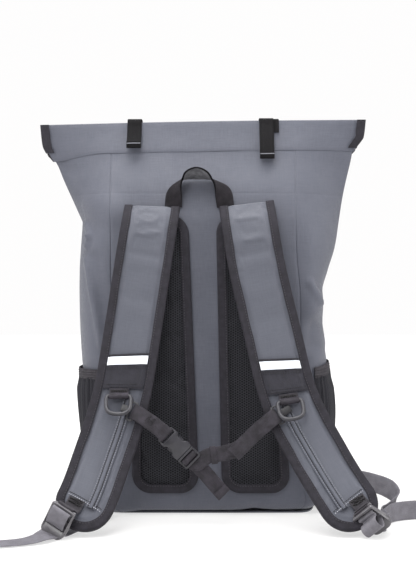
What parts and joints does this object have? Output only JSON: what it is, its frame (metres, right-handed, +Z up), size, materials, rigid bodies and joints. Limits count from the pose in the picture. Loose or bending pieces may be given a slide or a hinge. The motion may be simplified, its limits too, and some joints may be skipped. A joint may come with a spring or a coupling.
{
  "type": "dry bag backpack",
  "caption": "Soft roll-top dry bag backpack standing with its mouth unrolled, with padded shoulder straps, sternum strap, mesh back pads, grab handle and side pockets.",
  "frame": {"origin": "on the floor under the middle of the base panel", "axes": "+Z up toward the mouth, -Y out of the back panel toward the harness, +X to the right when facing the harness"},
  "size_m": [0.5475, 0.3475, 0.5423],
  "materials": {
    "coated_fabric": "grey coated woven fabric, slightly satin",
    "binding_tape": "matt dark grosgrain binding",
    "webbing": "dark woven webbing",
    "mesh": "black spacer mesh",
    "hardware": "dark grey moulded plastic, satin",
    "reflective": "white reflective tape"
  },
  "bodies": {
    "bag": {"back_panel": "coated_fabric", "front_panel": "coated_fabric", "side_gusset_left": "coated_fabric", "side_gusset_right": "coated_fabric", "base_panel": "coated_fabric", "mouth_hem_back": "coated_fabric", "mouth_hem_front": "coated_fabric", "mouth_binding_left": "binding_tape", "mouth_binding_right": "binding_tape", "top_strap_left": "webbing", "top_strap_right": "webbing", "top_strap_tail_right": "webbing", "grab_handle": "webbing", "back_pad_left": "mesh", "back_pad_right": "mesh", "back_pad_binding_left": "binding_tape", "back_pad_binding_right": "binding_tape", "side_pocket_left": "mesh", "side_pocket_right": "mesh", "pocket_hem_left": "binding_tape", "pocket_hem_right": "binding_tape", "shoulder_strap_left": "coated_fabric", "shoulder_strap_right": "coated_fabric", "strap_binding_left": "binding_tape", "strap_binding_right": "binding_tape", "strap_patch_left": "webbing", "strap_patch_right": "webbing", "reflective_strip_left": "reflective", "reflective_strip_right": "reflective", "sternum_rail_left": "coated_fabric", "sternum_rail_right": "coated_fabric", "d_ring_keeper_left": "webbing", "d_ring_keeper_right": "webbing", "sternum_slider_left": "hardware", "sternum_slider_right": "hardware", "sternum_webbing_left": "webbing", "sternum_webbing_right": "webbing", "sternum_keeper": "webbing", "buckle_female": "hardware", "buckle_male": "hardware", "strap_tab_left": "webbing", "strap_tab_right": "webbing", "ladder_lock_left": "hardware", "ladder_lock_right": "hardware", "lower_webbing_left": "webbing", "lower_webbing_right": "webbing"},
    "ring_left": {"d_ring_left": "hardware"},
    "ring_right": {"d_ring_right": "hardware"}
  },
  "joints": [
    {"name": "ring_left_swing", "type": "hinge", "parent": "bag", "child": "ring_left", "pos_m": [-0.11859, -0.148, 0.16703], "axis": [-1, 0.0004, 0.0013], "range_deg": [0, 130]},
    {"name": "ring_right_swing", "type": "hinge", "parent": "bag", "child": "ring_right", "pos_m": [0.1005, -0.14985, 0.16065], "axis": [-0.9889, -0.0417, -0.1425], "range_deg": [0, 130]}
  ]
}
